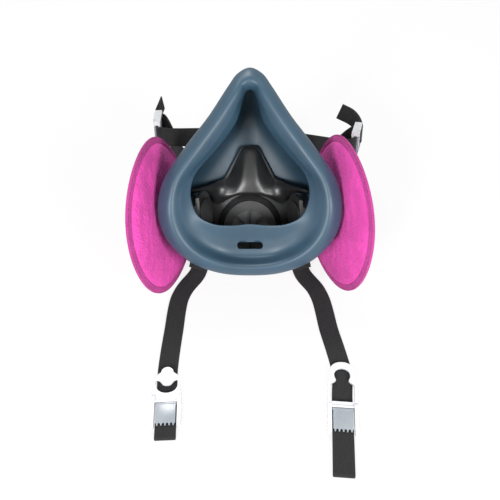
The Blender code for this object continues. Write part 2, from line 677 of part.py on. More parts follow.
def make_toothed_tab(name, frame):
    """Cam tab about the frame's x axis, whose toothed edge presses on the strap."""
    low = -TAB_T / 2
    high = TAB_T / 2
    tab = plate(name, rectangle(-TAB_HALF, TAB_HALF, -TAB_LEN, PIN_R + 0.1), low, high, frame, CLEAR)
    pin = turned(name + "_pin", disc(PIN_R, 0.6 - RAIL_OUT, RAIL_OUT - 0.6), across(frame), CLEAR, 12, True)
    boolean(tab, pin, "UNION")
    pitch = 2 * TAB_HALF / TAB_TEETH
    for i in range(TAB_TEETH):
        x = -TAB_HALF + pitch * (i + 0.5)
        root = 0.5 - TAB_LEN
        tooth = [(x - pitch * 0.36, root), (x, -TAB_LEN - TOOTH_LEN), (x + pitch * 0.36, root)]
        solid = plate("%s_tooth_%d" % (name, i), tooth, low + 0.1, high - 0.3, frame, CLEAR, True)
        boolean(tab, solid, "UNION")
    return tab


HOOK_HALF = [(1.8, 24.1), (3.4, 22.6), (4.1, 20.6), (5.4, 19.5), (6.9, 18.2), (8.2, 14.5),
             (8.7, 8.0), (RAIL_OUT, 5.0), (RAIL_OUT, 0.0)]
HOOK_MOUTH_HALF = [(2.2, 12.2), (3.2, 14.4), (6.6, 15.0), (6.7, 10.0), (4.5, 7.2), (1.5, 6.4)]
HOOK_PIN = -1.3
HOOK_END = -16.0


def make_neck_hook():
    """Knob, smile-shaped mouth and crossbar of the hook that goes into the keyhole."""
    frame = buckle_frame("left")
    top = BUCKLE_LOW + BUCKLE_PLATE_T
    hook = plate("neck_hook", symmetric(HOOK_HALF), BUCKLE_LOW, top, frame, CLEAR)
    mouth = plate("hook_mouth", symmetric(HOOK_MOUTH_HALF), 0.0, 8.0, frame, CLEAR, True)
    boolean(hook, mouth, "DIFFERENCE")
    add_rails(hook, "neck_hook", frame, 4.0, HOOK_PIN, HOOK_END)
    tab = make_toothed_tab("neck_hook_tab", shift(frame, 0, HOOK_PIN, PIN_Z))
    return hook, tab


KEY_HALF = [(3.0, 28.9), (6.2, 27.0), (8.0, 23.5), (8.3, 19.0), (RAIL_OUT + 0.1, 14.0),
            (RAIL_OUT + 0.1, -2.5)]
KEY_HOLE_HALF = [(3.9, 18.0), (3.9, 15.8), (7.3, 13.4), (7.3, 2.0)]
KEY_HOLE_R = 5.0
KEY_PIN = -3.8
KEY_END = -19.0


def make_neck_keyhole():
    """Arched plate whose keyhole takes the hook's knob."""
    frame = buckle_frame("right")
    top = BUCKLE_LOW + BUCKLE_PLATE_T
    loop = plate("neck_keyhole", symmetric(KEY_HALF), BUCKLE_LOW, top, frame, CLEAR)
    ring = ellipse(0.0, 20.0, KEY_HOLE_R, KEY_HOLE_R, 24)
    boolean(loop, plate("key_circle", ring, 0.0, 8.0, frame, CLEAR, True), "DIFFERENCE")
    body = plate("key_body", symmetric(KEY_HOLE_HALF), 0.0, 8.0, frame, CLEAR, True)
    boolean(loop, body, "DIFFERENCE")
    add_rails(loop, "neck_keyhole", frame, 0.0, KEY_PIN, KEY_END)
    tab = make_toothed_tab("neck_keyhole_tab", shift(frame, 0, KEY_PIN, PIN_Z))
    return loop, tab


carry("neck_left_hinge", neck_hinge(-1), (make_neck_strap("left", -1), *make_neck_hook()))
carry("neck_right_hinge", neck_hinge(1), (make_neck_strap("right", 1), *make_neck_keyhole()))

# head harness: each adjuster's centre, the way to the free tail, and the strap's width direction
V_DIR = MASK.to_3x3() @ Vector((0, 1, 0))
ADJUSTER = {"left": ((-66.4, 55.0, 62.0), (-0.06, 0.95, -0.30), (0, 0.30, 0.954)),
            "right": ((77.6, 52.0, 54.0), (0.24, 0.90, -0.33), (0, 0.34, 0.94))}
ADJUSTER_PIN_Y = -7.0
ADJUSTER_PIN_R = 0.5


def adjuster_frame(tag, side):
    """Local frame: x across, y towards the free tail, z away from the mask."""
    centre, along, wide = (Vector(p) for p in ADJUSTER[tag])
    y = along.normalized()
    x = (wide - y * wide.dot(y)).normalized()
    if x.cross(y).x * side < 0.0:
        x = -x
    turn = Matrix((x, y, x.cross(y))).transposed().to_4x4()
    return Matrix.Translation(centre * MM) @ turn


def on_adjuster(tag, side, y, z):
    return (adjuster_frame(tag, side) @ Vector((0, y * MM, z * MM))) / MM


def make_adjuster(tag, side):
    frame = adjuster_frame(tag, side)
    name = "adjuster_" + tag
    face = -STRAP_T / 2 - STRAP_GAP
    depth = ADJUSTER_DEPTH
    far = ADJUSTER_FAR
    rim = plate(name, rectangle(RAIL_IN, RAIL_OUT, ADJUSTER_NEAR, far), -depth, depth, frame, CLEAR)
    rail = rectangle(-RAIL_OUT, -RAIL_IN, ADJUSTER_NEAR, far)
    boolean(rim, plate(name + "_rail", rail, -depth, depth, frame, CLEAR, True), "UNION")
    bars = {"_near": (ADJUSTER_NEAR, ADJUSTER_NEAR + 2.4, face), "_mid": (-4.0, 3.5, face),
            "_far": (far - 2.7, far - 0.5, face - 0.2)}
    for mark, (y0, y1, top) in bars.items():
        bar = plate(name + mark, rectangle(-RAIL_OUT, RAIL_OUT, y0, y1), -depth, top, frame, CLEAR, True)
        boolean(rim, bar, "UNION")
    pin_frame = shift(frame, 0, ADJUSTER_PIN_Y, -face + TAB_T / 2)
    hole = disc(ADJUSTER_PIN_R + PIN_GAP, -RAIL_OUT - 1.0, RAIL_OUT + 1.0)
    boolean(rim, turned(name + "_pin_hole", hole, across(pin_frame), CLEAR, 12, True), "DIFFERENCE")
    leaf = rectangle(-TAB_HALF, TAB_HALF, -ADJUSTER_PIN_R, ADJUSTER_TAB_LEN)
    tab = plate(name + "_tab", leaf, -TAB_T / 2, TAB_T / 2, pin_frame, CLEAR)
    pin = disc(ADJUSTER_PIN_R, 0.6 - RAIL_OUT, RAIL_OUT - 0.6)
    boolean(tab, turned(name + "_pin", pin, across(pin_frame), CLEAR, 12, True), "UNION")


def make_crown_strap():
    """Free tail, left adjuster, band across the front of the nose, right adjuster, free tail."""
    tall_left = ADJUSTER["left"][2]
    tall_right = ADJUSTER["right"][2]
    path = [(Vector((-66.0, 86.0, 61.5)), tall_left), (Vector((-67.6, 78.0, 60.5)), tall_left)]
    for y, z in ((14.5, 2.5), (9.5, 2.1), (4.0, 0.0), (-6.0, 0.0), (-12.5, 0.0)):
        path.append((on_adjuster("left", -1, y, z), tall_left))
    for point in ((-62.6, 41.0, 66.2), (-56.0, 39.8, 66.5), (-30.0, 40.0, 66.5), (0.0, 40.0, 66.0),
                  (32.0, 39.0, 63.2), (60.0, 37.0, 59.8), (69.0, 37.2, 58.6)):
        path.append((Vector(point), V_DIR))
    for y, z in ((-12.5, 0.0), (-6.0, 0.0), (4.0, 0.0), (9.5, 2.1), (14.5, 2.6)):
        path.append((on_adjuster("right", 1, y, z), tall_right))
    for point in ((82.5, 73.5, 49.5), (77.5, 81.0, 51.5), (68.5, 85.5, 54.0)):
        path.append((Vector(point), tall_left))
    ribbon("crown_strap", path, TABLE, 3)


# side straps: places between the yoke and the adjuster
SIDE_RUN = {"left": ((-44.5, 36.5, 47.0), (-53.5, 47.0, 49.5)),
            "right": ((45.0, 38.0, 46.0), (58.0, 46.0, 44.5))}
SIDE_WIDE = (0, 0.32, 0.947)


def make_side_strap(tag, side):
    """Loop round the yoke's upper bar, then round the adjuster's far bar."""
    bar = Vector((side * UPPER_BAR_X, 0, YOKE_BACK + YOKE_T / 2))
    loop = arc(bar, (-side, 0, 0), (0, 0, 1), BAR_LOOP, -10, 190, 6)
    path = [(in_table((side * (UPPER_BAR_X - 2.2), 0.0, YOKE_BACK - 7.5)), V_DIR)]
    path += [(in_table(p), V_DIR) for p in loop]
    path.append((in_table((side * (UPPER_BAR_X + 2.6), 3.0, YOKE_BACK - 9.0)), V_DIR))
    path += [(Vector(p), SIDE_WIDE) for p in SIDE_RUN[tag]]
    axes = adjuster_frame(tag, side).to_3x3()
    wide = axes.col[0] * math.copysign(1.0, axes.col[0].z)
    bar_mid = on_adjuster(tag, side, ADJUSTER_FAR - 1.6, 0.7 - ADJUSTER_DEPTH)
    path.append((on_adjuster(tag, side, 3.5, -6.8), wide))
    path += [(p, wide) for p in arc(bar_mid, axes.col[2], axes.col[1], 2.3, 170, 10, 4)]
    path += [(on_adjuster(tag, side, 6.6, -1.6), wide), (on_adjuster(tag, side, 4.6, -4.1), wide)]
    ribbon("side_strap_" + tag, path, TABLE, 2)


make_crown_strap()
for tag, side in SIDES:
    make_adjuster(tag, side)
    make_side_strap(tag, side)
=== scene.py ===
"""Looks for the half-mask respirator: surfaces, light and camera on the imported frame.

Lengths are millimetres until a mesh is made. Mask pieces use x, v (towards the nose) and w (out of the
opening).
"""
import math

import bmesh
import bpy
from mathutils import Matrix, Vector, noise


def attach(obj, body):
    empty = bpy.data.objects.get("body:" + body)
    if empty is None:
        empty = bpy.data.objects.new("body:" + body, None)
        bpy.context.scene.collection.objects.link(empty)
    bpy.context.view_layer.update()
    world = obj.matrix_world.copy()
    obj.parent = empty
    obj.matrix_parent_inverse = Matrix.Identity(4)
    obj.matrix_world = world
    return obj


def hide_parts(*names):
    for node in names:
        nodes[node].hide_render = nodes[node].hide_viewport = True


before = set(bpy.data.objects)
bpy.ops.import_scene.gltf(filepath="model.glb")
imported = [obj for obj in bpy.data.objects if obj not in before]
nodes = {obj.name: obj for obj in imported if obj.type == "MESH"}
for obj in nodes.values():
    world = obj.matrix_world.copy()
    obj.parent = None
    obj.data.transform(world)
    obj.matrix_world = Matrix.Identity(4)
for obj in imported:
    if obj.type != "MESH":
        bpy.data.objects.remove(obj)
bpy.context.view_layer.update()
scene = bpy.context.scene

MM = 0.001
MASK = Matrix.Translation((0.0, -0.0222, 0.0895)) @ Matrix.Rotation(math.radians(48.0), 4, "X")
SIDES = (("left", -1), ("right", 1))

# camera of the photograph
camera = bpy.data.objects.new("camera", bpy.data.cameras.new("camera"))
camera.location = (0.0, -0.30758, 0.35702)
camera.rotation_euler = (math.radians(40.0), 0.0, 0.0)
camera.data.lens = 45.596
camera.data.sensor_width = 36.0
camera.data.clip_start = 0.01
scene.collection.objects.link(camera)
scene.camera = camera
scene.view_settings.view_transform = "Standard"


# materials

class Shader:
    """A Principled material and short ways to add nodes to it."""

    def __init__(self, name, **sockets):
        self.mat = bpy.data.materials.new(name)
        self.mat.use_nodes = True
        self.tree = self.mat.node_tree
        self.bsdf = self.tree.nodes["Principled BSDF"]
        for socket, value in sockets.items():
            self.bsdf.inputs[socket.replace("_", " ")].default_value = value
        self.heights = []

    def node(self, kind, **settings):
        made = self.tree.nodes.new(kind)
        for name, value in settings.items():
            setattr(made, name, value)
        return made

    def link(self, out, socket):
        self.tree.links.new(out, socket)

    def coords(self, kind):
        return self.node("ShaderNodeTexCoord").outputs[kind]

    def noise(self, vector, scale, detail=3.0, rough=0.55):
        tex = self.node("ShaderNodeTexNoise")
        tex.inputs["Scale"].default_value = scale
        tex.inputs["Detail"].default_value = detail
        tex.inputs["Roughness"].default_value = rough
        self.link(vector, tex.inputs["Vector"])
        return tex.outputs["Fac"]

    def math(self, operation, a, b=None):
        made = self.node("ShaderNodeMath", operation=operation)
        for i, value in enumerate((a, b)):
            if value is None:
                continue
            if isinstance(value, (int, float)):
                made.inputs[i].default_value = value
            else:
                self.link(value, made.inputs[i])
        return made.outputs[0]

    def ramp(self, fac, *stops):
        made = self.node("ShaderNodeValToRGB")
        ramp = made.color_ramp
        while len(ramp.elements) < len(stops):
            ramp.elements.new(0.5)
        for element, (place, rgb) in zip(ramp.elements, stops):
            element.position = place
            element.color = (*rgb, 1.0)
        self.link(fac, made.inputs["Fac"])
        return made.outputs["Color"]

    def span(self, fac, low, high):
        made = self.node("ShaderNodeMapRange")
        made.inputs["To Min"].default_value = low
        made.inputs["To Max"].default_value = high
        self.link(fac, made.inputs["Value"])
        return made.outputs["Result"]

    def color(self, out):
        self.link(out, self.bsdf.inputs["Base Color"])

    def rough(self, fac, low, high):
        self.link(self.span(fac, low, high), self.bsdf.inputs["Roughness"])

    def bump(self, height, strength, depth_mm):
        made = self.node("ShaderNodeBump")
        made.inputs["Strength"].default_value = strength
        made.inputs["Distance"].default_value = depth_mm * MM
        self.link(height, made.inputs["Height"])
        if self.heights:
            self.link(self.heights[-1], made.inputs["Normal"])
        self.heights.append(made.outputs["Normal"])
        self.link(made.outputs["Normal"], self.bsdf.inputs["Normal"])


def tinted(rgb, share):
    return tuple(c * share for c in rgb)


def silicone_material():
    rgb = (0.028, 0.064, 0.098)
    made = Shader("silicone", Roughness=0.42, Specular_IOR_Level=0.45)
    at = made.coords("Object")
    cloud = made.noise(at, 45.0)
    tone = made.ramp(cloud, (0.3, tinted(rgb, 0.9)), (0.7, tinted(rgb, 1.1)))
    # painted shade: this attribute mixes the skin's inner face towards a near-black blue, deeper inside the
    # mask and towards the nose
    painted_shade = made.node("ShaderNodeAttribute", attribute_name="painted_shade")
    mix = made.node("ShaderNodeMix", data_type="RGBA")
    made.link(painted_shade.outputs["Fac"], mix.inputs[0])
    made.link(tone, mix.inputs[6])
    mix.inputs[7].default_value = (0.016, 0.027, 0.036, 1.0)
    made.color(mix.outputs[2])
    made.rough(made.noise(at, 160.0), 0.36, 0.5)
    made.bump(made.noise(at, 1400.0, 2.0), 0.12, 0.15)
    return made.mat


def black_material():
    made = Shader("black_plastic", Roughness=0.33, Specular_IOR_Level=0.5)
    at = made.coords("Object")
    cloud = made.noise(at, 60.0)
    made.color(made.ramp(cloud, (0.3, (0.012, 0.0122, 0.013)), (0.7, (0.019, 0.0192, 0.020))))
    made.rough(made.noise(at, 220.0), 0.27, 0.42)
    made.bump(made.noise(at, 1900.0, 2.0), 0.1, 0.12)
    return made.mat


def rubber_material():
    made = Shader("valve_rubber", Roughness=0.5)
    at = made.coords("Object")
    cloud = made.noise(at, 90.0)
    made.color(made.ramp(cloud, (0.3, (0.062, 0.064, 0.066)), (0.7, (0.085, 0.087, 0.09))))
    made.rough(made.noise(at, 300.0), 0.42, 0.58)
    made.bump(made.noise(at, 1500.0, 2.0), 0.1, 0.1)
    return made.mat


def media_material(pillow_r):
    """Pink nonwoven with pressed dimples, and a weld rim of fine cross ribs."""
    rgb = (0.70, 0.068, 0.385)
    made = Shader("filter_media", Roughness=0.9, Specular_IOR_Level=0.25, Sheen_Weight=0.06,
                  Sheen_Roughness=0.5)
    at = made.coords("Object")
    split = made.node("ShaderNodeSeparateXYZ")
    made.link(made.coords("UV"), split.inputs["Vector"])
    x, y = split.outputs["X"], split.outputs["Y"]
    radius = made.math("SQRT", made.math("ADD", made.math("MULTIPLY", x, x), made.math("MULTIPLY", y, y)))
    on_rim = made.math("GREATER_THAN", radius, pillow_r * MM)
    turn = made.math("ARCTAN2", y, x)
    ribs = made.math("SINE", made.math("MULTIPLY", turn, 190.0))
    rows = made.math("SINE", made.math("MULTIPLY", radius, 4600.0))
    stitches = made.math("MULTIPLY", made.math("MULTIPLY", ribs, rows), on_rim)
    cells = made.node("ShaderNodeTexVoronoi")
    cells.inputs["Scale"].default_value = 620.0
    made.link(at, cells.inputs["Vector"])
    fibre = made.noise(at, 900.0, 4.0, 0.7)
    cloud = made.noise(at, 55.0, 4.0)
    blend = made.math("ADD", made.math("MULTIPLY", cloud, 0.7), made.math("MULTIPLY", fibre, 0.3))
    pink = made.ramp(blend, (0.3, tinted(rgb, 0.8)), (0.7, tuple(min(1.0, c * 1.15) for c in rgb)))
    at_edge = made.math("GREATER_THAN", radius, (PAD_R - 0.9) * MM)
    beat = made.math("SINE", made.math("MULTIPLY", turn, 230.0))
    dots = made.math("ADD", made.math("MULTIPLY", beat, 0.25), 0.5)
    edge = made.node("ShaderNodeMix", data_type="RGBA")
    edge.inputs[7].default_value = (*tinted(rgb, 0.32), 1.0)
    made.link(made.math("MULTIPLY", at_edge, dots), edge.inputs[0])
    made.link(pink, edge.inputs[6])
    made.color(edge.outputs[2])
    made.bump(cells.outputs["Distance"], 0.5, 0.7)
    made.bump(made.noise(at, 260.0, 4.0, 0.65), 0.45, 0.9)
    made.bump(fibre, 0.4, 0.35)
    made.bump(stitches, 1.0, 0.4)
    return made.mat


def webbing_material():
    """Black elastic: warp ribs are in the mesh, the weave across them is here."""
    made = Shader("webbing", Roughness=0.85, Specular_IOR_Level=0.3, Sheen_Weight=0.12, Sheen_Roughness=0.4)
    at = made.coords("UV")
    split = made.node("ShaderNodeSeparateXYZ")
    made.link(at, split.inputs["Vector"])
    along = made.math("SINE", made.math("MULTIPLY", split.outputs["Y"], 2 * math.pi / 0.8))
    over = made.math("SINE", made.math("MULTIPLY", split.outputs["X"], 2 * math.pi / 1.06))
    weave = made.math("MULTIPLY", along, over)
    fuzz = made.noise(made.coords("Object"), 1100.0, 3.0, 0.7)
    mixed = made.math("ADD", made.math("MULTIPLY", weave, 0.25), fuzz)
    made.color(made.ramp(mixed, (0.25, (0.010, 0.010, 0.0105)), (0.85, (0.026, 0.026, 0.027))))
    made.bump(weave, 0.6, 0.2)
    made.bump(fuzz, 0.3, 0.15)
    return made.mat


def clear_material():
    """See-through plastic of the buckles' tabs."""
    made = Shader("clear_plastic", Roughness=0.2, IOR=1.46, Transmission_Weight=0.3, Specular_IOR_Level=0.5)
    at = made.coords("Object")
    cloud = made.noise(at, 70.0)
    made.color(made.ramp(cloud, (0.3, (0.37, 0.41, 0.45)), (0.7, (0.44, 0.48, 0.515))))
    made.rough(made.noise(at, 240.0), 0.15, 0.26)
    made.bump(made.noise(at, 700.0, 2.0), 0.08, 0.1)
    return made.mat


def white_material():
    """Milky plastic of the buckles' frames."""
    made = Shader("white_plastic", Roughness=0.28, Specular_IOR_Level=0.5)
    at = made.coords("Object")
    cloud = made.noise(at, 80.0)
    made.color(made.ramp(cloud, (0.3, (0.66, 0.68, 0.70)), (0.7, (0.73, 0.745, 0.76))))
    made.rough(made.noise(at, 260.0), 0.22, 0.36)
    made.bump(made.noise(at, 800.0, 2.0), 0.08, 0.1)
    return made.mat


PAD_R = 51.3
PAD_RIM = 4.1
PAD_RIM_T = 2.0
PAD_BACK = 4.8
PAD_FRONT = 8.1
PAD_MID = 11.9
PILLOW_R = PAD_R - PAD_RIM
PAD_STEPS = 160
PAD_SEED = {"left": 3.7, "right": 11.3}
WELD_GROOVE = 0.45
WELD_GROOVE_W = 0.7
FOLD_WAVE = 1.6
FOLD_RAY = 2.4
FOLD_CREASE = 1.71
FOLD_SINK = 0.3
RIM_BEND = (1.3, 1.3, 0.9)
HUB_RECESS_R = 13.4
HUB_RECESS = (-9.0, -1.0)

SILICONE = silicone_material()
BLACK = black_material()
RUBBER = rubber_material()
MEDIA = media_material(PILLOW_R)
WEBBING = webbing_material()
CLEAR = clear_material()
WHITE = white_material()


# mesh helpers

def spline(points, per, cyclic=False):
    """Points on a smooth curve through every given point, with per steps in each span."""
    pts = [Vector(p) for p in points]
    n = len(pts)
    out = []
    for i in range(n if cyclic else n - 1):
        p1 = pts[i]
        p2 = pts[(i + 1) % n]
        p0 = pts[i - 1] if (cyclic or i > 0) else p1 * 2 - p2
        p3 = pts[(i + 2) % n] if (cyclic or i + 2 < n) else p2 * 2 - p1
        d0 = max((p1 - p0).length, 1e-6) ** 0.5
        d1 = max((p2 - p1).length, 1e-6) ** 0.5
        d2 = max((p3 - p2).length, 1e-6) ** 0.5
        m1 = (p2 - p1) + ((p1 - p0) / d0 - (p2 - p0) / (d0 + d1)) * d1
        m2 = (p2 - p1) + ((p3 - p2) / d2 - (p3 - p1) / (d1 + d2)) * d1
        for k in range(per):
            t = k / per
            out.append(p1 * (2 * t ** 3 - 3 * t * t + 1) + m1 * (t ** 3 - 2 * t * t + t)
                       + p2 * (3 * t * t - 2 * t ** 3) + m2 * (t ** 3 - t * t))
    if not cyclic:
        out.append(pts[-1])
    return out


def arc(centre, e1, e2, r, start, end, steps):
    out = []
    for i in range(steps + 1):
        a = math.radians(start + (end - start) * i / steps)
        out.append(Vector(centre) + Vector(e1) * (r * math.cos(a)) + Vector(e2) * (r * math.sin(a)))
    return out


def add(name, bm, matrix, mat, body):
    """Object from a bmesh in the frame of matrix, smooth shaded, riding on a body."""
    bmesh.ops.recalc_face_normals(bm, faces=bm.faces[:])
    if bm.calc_volume(signed=True) < 0.0:
        bmesh.ops.reverse_faces(bm, faces=bm.faces[:])
    for face in bm.faces:
        face.smooth = True
    bm.transform(matrix)
    mesh = bpy.data.meshes.new(name)
    bm.to_mesh(mesh)
    bm.free()
    mesh.materials.append(mat)
    piece = bpy.data.objects.new(name, mesh)
    scene.collection.objects.link(piece)
    if body:
        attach(piece, body)
    return piece


def rounded(x0, x1, y0, y1, r, steps=4):
    """Outline of a rectangle with corners of radius r."""
    corners = ((x1 - r, y0 + r, -90), (x1 - r, y1 - r, 0), (x0 + r, y1 - r, 90), (x0 + r, y0 + r, 180))
    out = []
    for cx, cy, start in corners:
        for i in range(steps + 1):
            t = math.radians(start + 90.0 * i / steps)
            out.append((cx + r * math.cos(t), cy + r * math.sin(t)))
    return out


def bridge(bm, rows, closed_round=True):
    for a, b in zip(rows, rows[1:]):
        for i in range(len(a) if closed_round else len(a) - 1):
            j = (i + 1) % len(a)
            bm.faces.new((a[i], a[j], b[j], b[i]))


def apply_modifiers(piece):
    """Keep what the modifiers make as the piece's own mesh."""
    bpy.context.view_layer.update()
    seen = piece.evaluated_get(bpy.context.evaluated_depsgraph_get())
    mesh = bpy.data.meshes.new_from_object(seen)
    piece.modifiers.clear()
    piece.data = mesh


def disc_tool(r, low, high, matrix, steps=64):
    bm = bmesh.new()
    bmesh.ops.create_cone(bm, cap_ends=True, segments=steps, radius1=r * MM, radius2=r * MM,
                          depth=(high - low) * MM)
    bmesh.ops.translate(bm, verts=bm.verts, vec=(0, 0, (high + low) / 2 * MM))
    return add("tool", bm, matrix, SILICONE, None)


def cut_away(piece, tool):
    mod = piece.modifiers.new("cut", "BOOLEAN")
    mod.operation = "DIFFERENCE"
    mod.solver = "EXACT"
    mod.object = tool
    apply_modifiers(piece)
    bpy.data.objects.remove(tool)


# facepiece: the same rings as the solid, drawn finer, with a thin rounded lip

LIP_EDGE = ((0, 52, -9), (3, 50.4, -9), (5.2, 44.4, -8), (9, 31.9, -6.5), (20.2, 16.4, -4.5),
            (34.7, -1, -2.2), (37.2, -13.5, -1.5), (33, -26, -2.8), (23.2, -32, -6),
            (11.6, -33.2, -8.5), (0, -32.4, -9))
LIP_SHELF = ((0, 52.9, -7.8), (3.3, 51.1, -7.5), (5.6, 45.9, -6), (11.4, 31.4, -4), (23.7, 15.1, -1.5),
             (38, -2.5, 0.5), (40.5, -16.3, 1), (37, -29, -1.5), (27, -37.5, -7), (14.3, -43, -11.5),
             (0, -43.4, -12.5))
LIP_TROUGH = ((0, 54, -6), (3.6, 52.3, -6), (6, 46.9, -4), (14.3, 31, -1.5), (27, 13.8, 1), (41, -4, 3),
              (43.6, -18.3, 3.5), (40, -32.6, 0), (30, -44.4, -6.5), (16.3, -51.8, -11.5), (0, -53.8, -12.5))
CREST = ((0, 56.7, -4), (5, 54.5, -3.5), (8.5, 49.3, -1.5), (20.5, 31.9, 2), (34.2, 13, 5), (45.4, -5, 6.5),
         (48.8, -22.2, 6.5), (44.9, -37.3, 4), (34.2, -49.3, 1), (18.4, -56.4, -1), (0, -58.4, -1.5))
OUTER = ((0, 63.7, -10), (7, 60.3, -9.5), (12, 53.6, -8), (24.6, 34.4, -4.5), (39.6, 15, -2),
         (52.6, -4.8, -1), (56.2, -23.2, -1), (51.6, -40, -3), (38.6, -54, -6),
         (20.3, -61.8, -8), (0, -63.7, -8.5))
NECK = ((0, 57.8, -14), (5, 55.7, -13.5), (9, 49.8, -12), (20.2, 32.6, -9.5), (34, 13.8, -8),
        (45.7, -4.5, -7.5), (48.4, -22.7, -7.5), (45, -37.5, -9), (34.4, -49.9, -12),
        (18.6, -57.3, -14), (0, -59.2, -14.5))
BODY = ((0, 50, -28), (4.8, 48, -28), (8.7, 43, -27), (18.8, 29.1, -26), (31, 12.8, -25), (42.7, -4.5, -25),
        (45.4, -22.7, -25), (42.5, -37, -26), (33, -50, -28), (18, -57.8, -30), (0, -59.8, -30))
SHOULDER = ((0, 37.5, -44), (4.5, 36.1, -44), (8.2, 32.5, -44), (16, 22.2, -44), (26, 8, -44), (36, -6, -43),
            (39.5, -23, -43), (37.5, -36, -43), (30, -48.5, -44), (17, -56.5, -45), (0, -59, -45))
FRONT_HOLE = ((0, 16.5, -51), (3, 15.8, -51), (5, 14, -51), (9, 6.5, -51), (14, -2.5, -51), (20.5, -9.5, -51),
              (25, -23, -51), (24, -35, -51), (19.5, -45, -51), (11.5, -52, -51), (0, -54, -51))
RINGS = (LIP_EDGE, LIP_SHELF, LIP_TROUGH, CREST, OUTER, NECK, BODY, SHOULDER, FRONT_HOLE)
SKIN = 2.2
LIP_T = 1.2
AROUND = 7
DOWN = 7
PORT = (45.6, -27.3, -22.4)
PORT_OUT = {"left": (-0.963, -0.037, -0.266), "right": (0.963, 0.065, -0.266)}
PORT_HOLE_R = 11.2
BOSS_R = 14.5


def port_frame(tag, side):
    """Frame on a filter port's axis: z out of the mask, x roughly towards the nose."""
    z = Vector(PORT_OUT[tag]).normalized()
    x = Vector((0, 1, 0))
    x = (x - z * x.dot(z)).normalized()
    turn = Matrix((x, z.cross(x), z)).transposed().to_4x4()
    return MASK @ Matrix.Translation((side * PORT[0] * MM, PORT[1] * MM, PORT[2] * MM)) @ turn


def facepiece_grid():
    around = []
    for ring in RINGS:
        whole = list(ring) + [(-x, v, w) for x, v, w in reversed(ring[1:-1])]
        around.append(spline(whole, AROUND, cyclic=True))
    columns = [spline(column, DOWN) for column in zip(*around)]
    return [list(row) for row in zip(*columns)]


def inner_face(faces):
    """Which of the skin's two faces looks into the mask: the one nearer to its axis in the body's rows."""
    row = len(faces[0]) - 2 * DOWN
    spread = [sum(abs(p.x) for p in face[row]) for face in faces]
    return 0 if spread[0] < spread[1] else 1


def make_facepiece():
    """Both faces of the skin, joined by a rounded lip edge."""
    grid = facepiece_grid()
    last = len(grid) - 1
    count = len(grid[0])
    faces = [[], []]
    lips = []
    for i, row in enumerate(grid):
        half = (LIP_T + (SKIN - LIP_T) * min(1.0, i / (2.0 * DOWN))) / 2
        up = []
        down = []
        for j, p in enumerate(row):
            round_way = row[(j + 1) % count] - row[j - 1]
            down_way = grid[min(i + 1, last)][j] - grid[max(i - 1, 0)][j]
            normal = round_way.cross(down_way).normalized()
            up.append(p + normal * half)
            down.append(p - normal * half)
            if i == 0:
                out = -down_way.normalized()
                lips.append([p + normal * (half * math.cos(a)) + out * (half * math.sin(a))
                             for a in (math.pi * k / 6 for k in range(1, 6))])
        faces[0].append(up)
        faces[1].append(down)
    rim = [[lip[k] for lip in lips] for k in range(5)]
    order = list(reversed(faces[0])) + rim + faces[1]
    bm = bmesh.new()
    # painted shade on the skin's inner face, one weight per point
    painted_shade = bm.verts.layers.float.new("painted_shade")
    rows = [[bm.verts.new(p * MM) for p in row] for row in order]
    bridge(bm, rows)
    bridge(bm, [rows[-1], rows[0]])
    seen = rows[:len(grid)] if inner_face(faces) == 0 else rows[-len(grid):]
    # the painted shade grows deeper into the mask and more towards the nose
    for vert in (v for row in seen for v in row):
        nose = min(1.0, max(0.0, (vert.co.y / MM - 18.0) / 20.0))
        down = min(1.0, max(0.0, (-8.0 - vert.co.z / MM) / 14.0))
        vert[painted_shade] = down * (0.2 + 0.45 * nose)
    piece = add("mask_skin", bm, MASK, SILICONE, None)
    for tag, side in SIDES:
        cut_away(piece, disc_tool(BOSS_R - 0.4, -20.0, 12.0, port_frame(tag, side)))
    slot = bmesh.new()
    outline = rounded(-8.2, 8.2, -48.2, -43.6, 2.2, 6)
    low = [slot.verts.new((x * MM, y * MM, -17.0 * MM)) for x, y in outline]
    high = [slot.verts.new((x * MM, y * MM, -8.5 * MM)) for x, y in outline]
    slot.faces.new(low)
    slot.faces.new(high)
    bridge(slot, [low, high])
    cut_away(piece, add("tool", slot, MASK, SILICONE, None))
    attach(piece, "mask")
    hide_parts("facepiece")
    return piece


def turned_ring(name, profile, matrix, mat, body, steps=96):
    """Closed (radius, height) profile turned about the frame's z axis."""
    bm = bmesh.new()
    rows = []
    for i in range(steps):
        a = 2 * math.pi * i / steps
        rows.append([bm.verts.new((r * math.cos(a) * MM, r * math.sin(a) * MM, z * MM)) for r, z in profile])
    bridge(bm, rows + [rows[0]])
    return add(name, bm, matrix, mat, body)


make_facepiece()
for tag, side in SIDES:
    boss = [(PORT_HOLE_R, -7.2), (PORT_HOLE_R + 0.3, -7.5), (BOSS_R - 0.5, -7.5), (BOSS_R, -7.0),
            (BOSS_R, 1.5), (BOSS_R - 0.5, 2.0), (PORT_HOLE_R + 0.3, 2.0), (PORT_HOLE_R, 1.7)]
    turned_ring("port_boss_" + tag, boss, port_frame(tag, side), SILICONE, "mask")


# filter pads

def pillow(u):
    return max(0.0, 1.0 - u ** 4.2) ** 0.75


